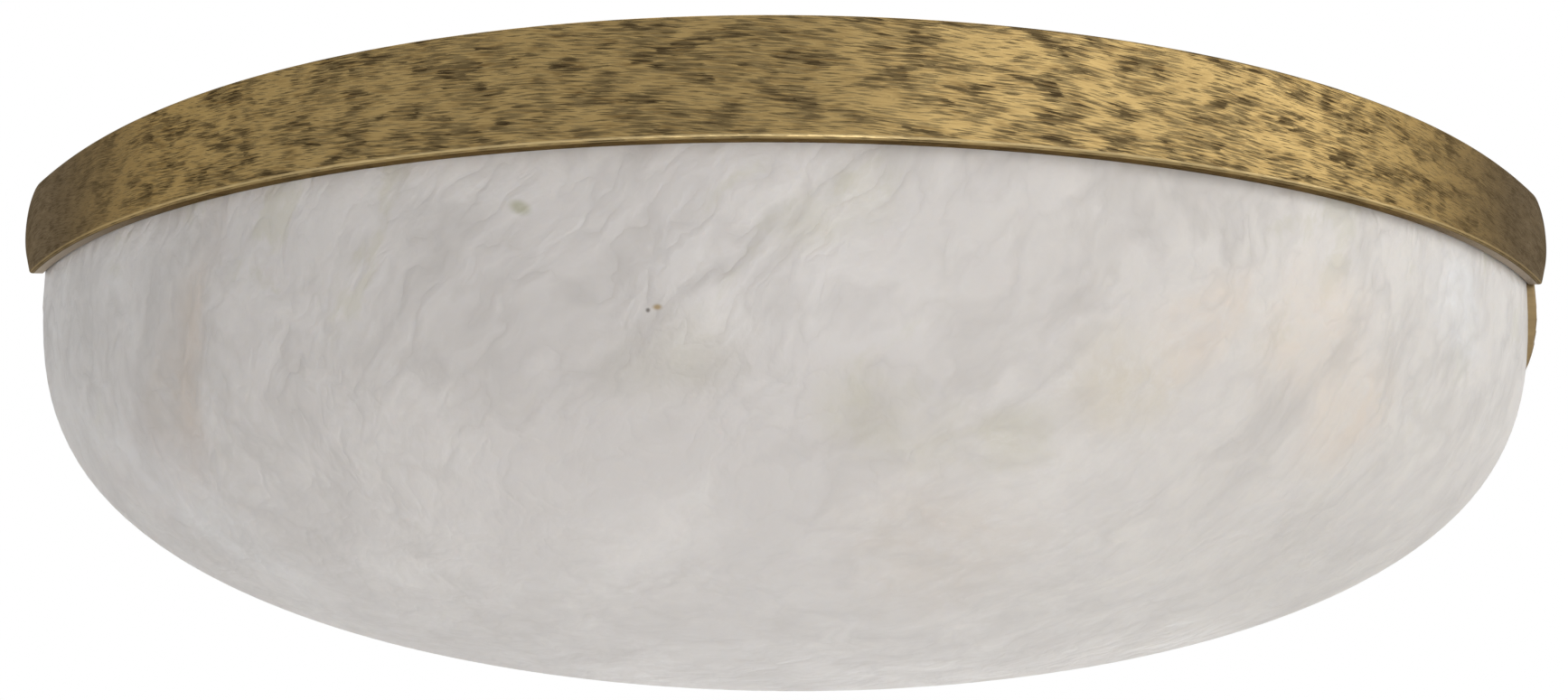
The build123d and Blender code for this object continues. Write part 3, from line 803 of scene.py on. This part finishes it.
@dataclass
class Plan:
    """The D-shaped plan that the band and the bowl share: the front part of an ellipse.

    Its ends are 203 mm from the middle and 8 mm off the wall, about 34.8 degrees to either
    side of its foremost point, which stands 119 mm further out. That gives semi_x as 203 mm
    over the sine, semi_y as 119 mm over one less the cosine, and the centre semi_y times the
    cosine behind the ends.
    """

    semi_x: float = 355.700 * MM
    semi_y: float = 665.364 * MM
    centre_y: float = 538.364 * MM

    def angle_at(self, y: float, inset: np.ndarray) -> np.ndarray:
        """Angles from the front where the line moved inwards meets a plane y.

        Each is the arc cosine of the plane's distance from the centre over semi_y less inset.

        Args:
            y: The plane's place.
            inset: Distances inwards from the outer line.

        Returns:
            The ellipse's angles in radians.
        """
        return np.arccos((self.centre_y - y) / (self.semi_y - inset))

    def point(self, angle: np.ndarray, inset: np.ndarray) -> tuple[np.ndarray, np.ndarray]:
        """Points (x, y): semi-axis less inset, times sine or cosine of the angle.

        Args:
            angle: Angles from the front.
            inset: Distance inwards for each.

        Returns:
            The x and y arrays.
        """
        return (self.semi_x - inset) * np.sin(angle), self.centre_y - (self.semi_y - inset) * np.cos(angle)


@dataclass
class Band:
    """The chased brass band with its inner ledge."""

    plan: Plan
    top: float = 53.0 * MM
    low: float = 30.0 * MM
    wall: float = 1.3 * MM
    ledge_reach: float = 1.7 * MM
    ledge_thickness: float = 2.0 * MM
    inner_row: float = 8.0 * MM
    bevel: float = 0.25 * MM
    edge_radius: float = 0.6 * MM
    edge_points: int = 5
    face_points: int = 26
    end_top_radius: float = 9.0 * MM
    end_low_radius: float = 1.5 * MM
    flare: float = 2.15 * MM
    flare_start: float = 0.55
    flare_along: int = 4
    flare_up: float = 2.5
    back: float = -8.3 * MM
    steps: int = 900
    crowding: float = 1.15

    def section(self) -> tuple[np.ndarray, np.ndarray]:
        """Closed section as (inset, z): up the outer face, over the top, down to the ledge and back.

        Returns:
            The insets and heights of its points, in metres.
        """
        turn = np.linspace(0.0, 0.5 * np.pi, self.edge_points)
        r, bevel = self.edge_radius, self.bevel
        low_edge = np.stack([r - r * np.sin(turn), self.low + r - r * np.cos(turn)], -1)
        rise = np.linspace(self.low + r, self.top - r, self.face_points)[1:-1]
        face = np.stack([np.zeros_like(rise), rise], -1)
        top_edge = np.stack([r - r * np.cos(turn), self.top - r + r * np.sin(turn)], -1)
        back_edge = np.array([[self.wall - bevel, self.top], [self.wall, self.top - bevel]])
        ledge_top = self.low + self.ledge_thickness
        reach = self.wall + self.ledge_reach
        ledge = np.array([[self.wall, ledge_top + self.inner_row], [self.wall, ledge_top],
                          [reach - bevel, ledge_top], [reach, ledge_top - bevel],
                          [reach, self.low + bevel], [reach - bevel, self.low]])
        loop = np.concatenate([low_edge, face, top_edge, back_edge, ledge])
        return loop[:, 0], loop[:, 1]

    def build(self) -> bpy.types.Object:
        """Carries the section along the plan.

        Near each end quarter circles lower the top and lift the low edge, and the wall flares
        out by the flare times the fourth power of the way to the end times 1 - (1 - height
        share) to the power 2.5. The steps along it crowd together towards the ends.

        Returns:
            The band as one closed mesh.
        """
        inset, height = self.section()
        count = len(inset)
        share = np.linspace(-1.0, 1.0, self.steps)
        share = np.sign(share) * (1.0 - (1.0 - np.abs(share)) ** self.crowding)
        angle = share[:, None] * self.plan.angle_at(self.back, inset)[None, :]
        x, y = self.plan.point(angle, np.broadcast_to(inset, angle.shape))
        end = np.clip(self.back - y, 0.0, None)
        top = self.top - self.end_top_radius + self.quarter(end, self.end_top_radius)
        low = self.low + self.end_low_radius - self.quarter(end, self.end_low_radius)
        part = (height - self.low) / (self.top - self.low)
        z = low + part * (top - low)
        way = np.clip((np.abs(share) - self.flare_start) / (1.0 - self.flare_start), 0.0, 1.0)
        run_out = np.sign(share) * way ** self.flare_along
        x = x + self.flare * run_out[:, None] * (1.0 - (1.0 - part) ** self.flare_up)
        points = np.stack([x, y, z], -1).reshape(-1, 3)
        faces = grid_faces(self.steps, count).tolist()
        faces.append(list(range(count)))
        faces.append(list(range((self.steps - 1) * count, self.steps * count))[::-1])
        uv = self.flat(x, y, inset, height)
        piece = mesh_piece("chased_band", points, faces, uv.reshape(-1, 2))
        piece.data.materials.append(ChasedBrass(half_length=float(uv[-1, 0, 0])).material())
        return piece

    def flat(self, x: np.ndarray, y: np.ndarray, inset: np.ndarray, height: np.ndarray) -> np.ndarray:
        """Lays the surface flat: the outer face's arc length from its middle, and the way up it.

        The way up is the height over the low edge, less the inset on the ledge and underside,
        so that the underside lies below zero.

        Args:
            x: The band's x, one row for each step along it.
            y: The band's y.
            inset: The section's insets.
            height: The section's heights.

        Returns:
            Metres along and up for each point.
        """
        row = self.edge_points + 3
        run = np.hypot(np.diff(x[:, row]), np.diff(y[:, row]))
        arc = np.concatenate([[0.0], np.cumsum(run)])
        arc -= arc[-1] / 2
        underside = height < self.low + 0.1 * MM
        ledge = height <= self.low + self.ledge_thickness + MM
        inwards = inset - np.where(underside, self.edge_radius, 0.0)
        up = height - self.low - np.where(ledge, inwards, 0.0)
        return np.stack([np.broadcast_to(arc[:, None], x.shape), np.broadcast_to(up, x.shape)], -1)

    @staticmethod
    def quarter(distance: np.ndarray, radius: float) -> np.ndarray:
        """Height of a quarter circle above its lowest point: root of r squared less (r - d) squared.

        Args:
            distance: Distance from the end.
            radius: The circle's radius.

        Returns:
            The heights, radius past the circle.
        """
        left = np.clip(radius - distance, 0.0, radius)
        return np.sqrt(radius ** 2 - left ** 2)


@dataclass
class RearPads:
    """Two felt strips between the bowl's rear edges and the back plate."""

    plan: Plan
    bowl_inset: float = 3.3 * MM
    bowl_rim: float = 44.0 * MM
    bowl_depth: float = 121.0 * MM
    bowl_fullness: float = 3.32
    edge_gap: float = 0.9 * MM
    width: float = 4.8 * MM
    low: float = 8.0 * MM
    high: float = 43.0 * MM
    back: float = -8.3 * MM
    thickness: float = 1.0 * MM
    round_off: float = 0.3 * MM
    rows: int = 60

    def bowl_half_width(self, height: np.ndarray) -> np.ndarray:
        """Half width of the bowl's rear edge: where its plan at a height meets the rear plane.

        The plan's depth radius falls from the rim's by a share t to the power of the fullness,
        with t the way down from rim to bottom; the half width is the root of that radius
        squared less the rear plane's distance squared, times the plan's ratio of axes.

        Args:
            height: Heights in metres.

        Returns:
            The half widths in metres.
        """
        rear = self.plan.centre_y - self.back + self.thickness
        rim = self.plan.semi_y - self.bowl_inset
        share = np.clip((self.bowl_rim - height) / self.bowl_depth, 0.0, 1.0)
        radius = rear + (rim - rear) * (1.0 - share ** self.bowl_fullness)
        return (self.plan.semi_x - self.bowl_inset) / rim * np.sqrt(radius ** 2 - rear ** 2)

    def build(self) -> bpy.types.Object:
        """Carries an oblong section with cut corners down each rear edge.

        Returns:
            Both strips as one mesh.
        """
        r = self.round_off
        front, back = self.back - self.thickness, self.back
        section = np.array([[0.0, front + r], [0.0, back - r], [r, back], [self.width - r, back],
                            [self.width, back - r], [self.width, front + r], [self.width - r, front],
                            [r, front]])
        count = len(section)
        height = np.linspace(self.low, self.high, self.rows)
        outer = self.bowl_half_width(height) - self.edge_gap
        x = outer[:, None] - section[None, :, 0]
        y = np.broadcast_to(section[None, :, 1], x.shape)
        z = np.broadcast_to(height[:, None], x.shape)
        right = np.stack([x, y, z], -1).reshape(-1, 3)
        last = (self.rows - 1) * count
        caps = [list(range(count))[::-1], list(range(last, last + count))]
        faces = grid_faces(self.rows, count)[:, ::-1].tolist() + caps
        faces += [[len(right) + number for number in face[::-1]] for face in faces]
        points = np.concatenate([right, right * (-1.0, 1.0, 1.0)])
        return mesh_piece("felt_strips", points, faces)


# Light and camera


@dataclass(frozen=True)
class Lamp:
    """A square soft box: its name, its centre, its side in metres and its power in watts."""

    name: str
    place: Point
    size: float
    power: float

    def build(self, aim: Point) -> None:
        """Adds the soft box.

        Args:
            aim: The point that it faces.
        """
        data = bpy.data.lights.new(self.name, "AREA")
        data.shape, data.size, data.energy = "SQUARE", self.size, self.power
        turn = (Vector(self.place) - Vector(aim)).to_track_quat("Z", "Y").to_matrix().to_4x4()
        linked(self.name, data).matrix_world = Matrix.Translation(self.place) @ turn


@dataclass
class Studio:
    """Camera, lamps, floor and background.

    The camera's place and its tilt, roll and yaw in degrees come from the fit to the
    photograph's outline. The world's soft level lights the object, and the floor's glow is
    what the camera sees of it, in a share that leaves room for the object's shadow.
    """

    lens: float = 29.2175
    sensor: float = 36.0
    place: Point = (-0.002006, -0.342225, -0.042087)
    tilt: float = 9.0320
    roll: float = 0.3786
    yaw: float = 0.2131
    soft_colour: Colour = (0.98, 0.99, 1.0)
    soft_level: float = 0.12
    floor_drop: float = 0.62
    floor_radius: float = 2.6
    floor_sides: int = 96
    floor_dark: Colour = (0.80, 0.80, 0.795)
    floor_light: Colour = (0.83, 0.83, 0.825)
    floor_glow: float = 1.12
    floor_share: float = 0.85
    aim: Point = (0.0, -0.05, 0.0)
    lamps: tuple[Lamp, ...] = (
        Lamp("side", (1.05, -0.25, 0.24), 0.55, 1.2),
        Lamp("key", (0.75, -1.15, 0.55), 0.9, 3.5),
        Lamp("top_right", (0.86, -0.38, 0.64), 0.8, 2.2),
        Lamp("low_front", (0.04, -1.0, -0.58), 0.9, 8.6),
        Lamp("left", (-1.1, -0.8, -0.50), 0.8, 1.3),
        Lamp("under", (0.05, -0.10, -0.58), 0.7, 0.40),
        Lamp("rear_top", (-0.1, 0.85, 0.95), 0.9, 6.5),
        Lamp("rear_low", (0.2, 1.1, -0.25), 0.9, 3.5),
    )

    def camera(self) -> None:
        """Makes the camera: it looks along +Y, turned by the yaw, tilt and roll."""
        yaw, tilt, roll = (math.radians(v) for v in (self.yaw, self.tilt, self.roll))
        forward = Vector((math.sin(yaw) * math.cos(tilt), math.cos(yaw) * math.cos(tilt), math.sin(tilt)))
        right = Vector((math.cos(yaw), -math.sin(yaw), 0.0))
        up = right.cross(forward)
        side = math.cos(roll) * right + math.sin(roll) * up
        above = -math.sin(roll) * right + math.cos(roll) * up
        data = bpy.data.cameras.new("camera")
        data.lens, data.sensor_width, data.sensor_fit = self.lens, self.sensor, "HORIZONTAL"
        data.clip_start, data.clip_end = 0.01, 100.0
        made = linked("camera", data)
        turn = Matrix((side, above, -forward)).transposed()
        made.matrix_world = Matrix.Translation(self.place) @ turn.to_4x4()
        bpy.context.scene.camera = made

    @staticmethod
    def seen(tree: bpy.types.NodeTree) -> Socket:
        """Gives 1 for rays from the camera, a mirror or glass, and 0 for the rest.

        Args:
            tree: The node tree of the world or of a material.

        Returns:
            The output that tells them apart.
        """
        path = tree.nodes.new("ShaderNodeLightPath")
        first = tree.nodes.new("ShaderNodeMath")
        second = tree.nodes.new("ShaderNodeMath")
        first.operation = second.operation = "MAXIMUM"
        tree.links.new(path.outputs["Is Camera Ray"], first.inputs[0])
        tree.links.new(path.outputs["Is Glossy Ray"], first.inputs[1])
        tree.links.new(first.outputs[0], second.inputs[0])
        tree.links.new(path.outputs["Is Transmission Ray"], second.inputs[1])
        return second.outputs[0]

    def world(self) -> None:
        """White to the camera and to mirrors, a plain soft level to everything else."""
        world = bpy.data.worlds.new("studio")
        bpy.context.scene.world = world
        world.use_nodes = True
        tree = world.node_tree
        tree.nodes.clear()
        out = tree.nodes.new("ShaderNodeOutputWorld")
        white = tree.nodes.new("ShaderNodeBackground")
        soft = tree.nodes.new("ShaderNodeBackground")
        mix = tree.nodes.new("ShaderNodeMixShader")
        white.inputs["Color"].default_value = (1.0, 1.0, 1.0, 1.0)
        white.inputs["Strength"].default_value = 1.0
        soft.inputs["Color"].default_value = (*self.soft_colour, 1.0)
        soft.inputs["Strength"].default_value = self.soft_level
        tree.links.new(self.seen(tree), mix.inputs[0])
        tree.links.new(soft.outputs[0], mix.inputs[1])
        tree.links.new(white.outputs[0], mix.inputs[2])
        tree.links.new(mix.outputs[0], out.inputs["Surface"])

    def floor(self) -> None:
        """Lays a round pale floor well under the light; the camera sees most of it evenly pale."""
        turn = np.linspace(0.0, 2.0 * np.pi, self.floor_sides + 1)[:-1]
        points = np.stack([self.floor_radius * np.cos(turn), self.floor_radius * np.sin(turn),
                           np.full_like(turn, -self.floor_drop)], -1)
        made = mesh_piece("floor", points, [list(range(self.floor_sides))])
        g = Graph("pale_floor")
        tone = g.spread(g.noise(g.objects(), Grain(3.0, 3.0, 0.5)), 0.3, 0.7)
        base = g.mix(tone, self.floor_dark, self.floor_light)
        made.data.materials.append(g.shade(Base_Color=base, Roughness=0.8))
        pale = g.node("Emission", {"Color": base, "Strength": self.floor_glow})
        amount = g.math("MULTIPLY", self.seen(g.tree), self.floor_share)
        both = g.node("MixShader", {0: amount, 1: g.shader.outputs[0], 2: pale.outputs[0]})
        g.tree.links.new(both.outputs[0], g.out.inputs["Surface"])

    def build(self) -> None:
        """Sets the whole studio up."""
        self.camera()
        self.world()
        self.floor()
        for lamp in self.lamps:
            lamp.build(self.aim)
        bpy.context.scene.view_settings.view_transform = "Standard"


# The wall light


@dataclass
class WallLight:
    """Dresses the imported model: a new band and felt strips, and a finish for every other node."""

    frame: dict
    plan: Plan = field(default_factory=Plan)

    def finishes(self) -> dict[str, bpy.types.Material]:
        """Makes the material of every slot; the plain band under the chased one wears plain brass.

        Returns:
            Materials by slot.
        """
        made = {finish.name: finish.value.material() for finish in Finish}
        made["alabaster"] = Alabaster().material()
        made["brass_textured"] = made["brass_plain"]
        return made

    def paint(self, finishes: dict[str, bpy.types.Material]) -> dict[str, str]:
        """Gives every CAD node the finish of its slot.

        Args:
            finishes: Materials by slot.

        Returns:
            The slot of each node.
        """
        record = self.frame["record"]
        slots = {part["node"]: part["material_slot"] for part in record["subparts"]}
        for name, node in self.frame["nodes"].items():
            node.data.materials.clear()
            node.data.materials.append(finishes[slots[name]])
        return slots

    def band(self) -> None:
        """Puts the chased band in place of the plain one."""
        piece = Band(self.plan).build()
        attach(piece, "shade")
        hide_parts("brass_band")

    def pads(self, felt: bpy.types.Material) -> None:
        """Puts felt strips that follow the bowl's rear edges in place of the plain ones.

        Args:
            felt: Their material.
        """
        piece = RearPads(self.plan).build()
        piece.data.materials.append(felt)
        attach(piece, "shade")
        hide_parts("rear_pads")

    def build(self) -> dict[str, str]:
        """Dresses the whole light.

        Returns:
            The slot of each CAD node and each new piece.
        """
        finishes = self.finishes()
        slots = self.paint(finishes)
        self.band()
        self.pads(finishes["felt"])
        return {**slots, "chased_band": "brass_textured", "felt_strips": "felt"}


def main() -> None:
    """Loads the frame, builds the studio and the light, and reports the slot of each piece."""
    logging.basicConfig(level=logging.INFO)
    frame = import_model()
    Studio().build()
    for name, slot in WallLight(frame).build().items():
        LOG.info("%s wears %s", name, slot)


if __name__ == "__main__":
    main()
